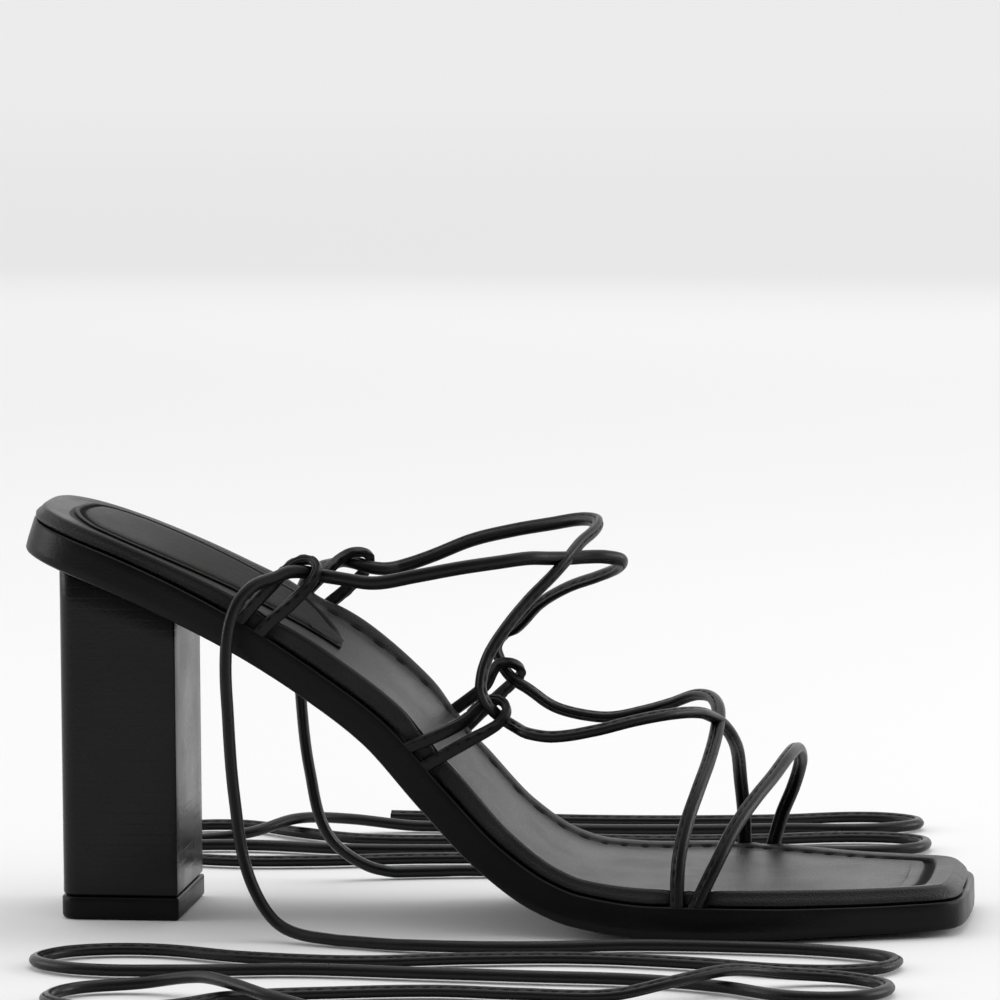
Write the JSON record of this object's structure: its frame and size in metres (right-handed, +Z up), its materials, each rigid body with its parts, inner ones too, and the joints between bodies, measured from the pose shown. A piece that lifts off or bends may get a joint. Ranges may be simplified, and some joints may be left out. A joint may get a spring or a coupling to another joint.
{
  "type": "lace up heeled sandal",
  "caption": "Right heeled sandal with a block heel, a leather sole, a toe strap and crossed rolled leather laces that end in long ankle ties.",
  "frame": {"origin": "on the floor under the middle of the sandal, without its ties", "axes": "+X towards the toe, +Y towards the medial side of this right shoe, +Z up"},
  "size_m": [0.2283, 0.307, 0.0999],
  "materials": {
    "outsole_leather": "black, smooth, satin",
    "footbed_leather": "black, fine grain, soft satin",
    "sock_leather": "black, fine grain, satin",
    "heel_leather": "black, faint stacked layers",
    "top_piece_rubber": "black, smooth",
    "strap_leather": "black, rolled, soft satin",
    "loop_leather": "black, folded, soft satin",
    "tie_leather": "black, rolled, soft satin"
  },
  "bodies": {
    "root": {"outsole": "outsole_leather", "footbed": "footbed_leather", "heel_sock": "sock_leather", "heel_block": "heel_leather", "heel_top_piece": "top_piece_rubber", "toe_strap": "strap_leather", "crossed_straps": "strap_leather", "mid_loop_lateral": "loop_leather", "mid_loop_medial": "loop_leather", "heel_loop_lateral": "loop_leather", "heel_loop_medial": "loop_leather", "tie_lateral": "tie_leather", "tie_medial": "tie_leather"}
  },
  "joints": []
}
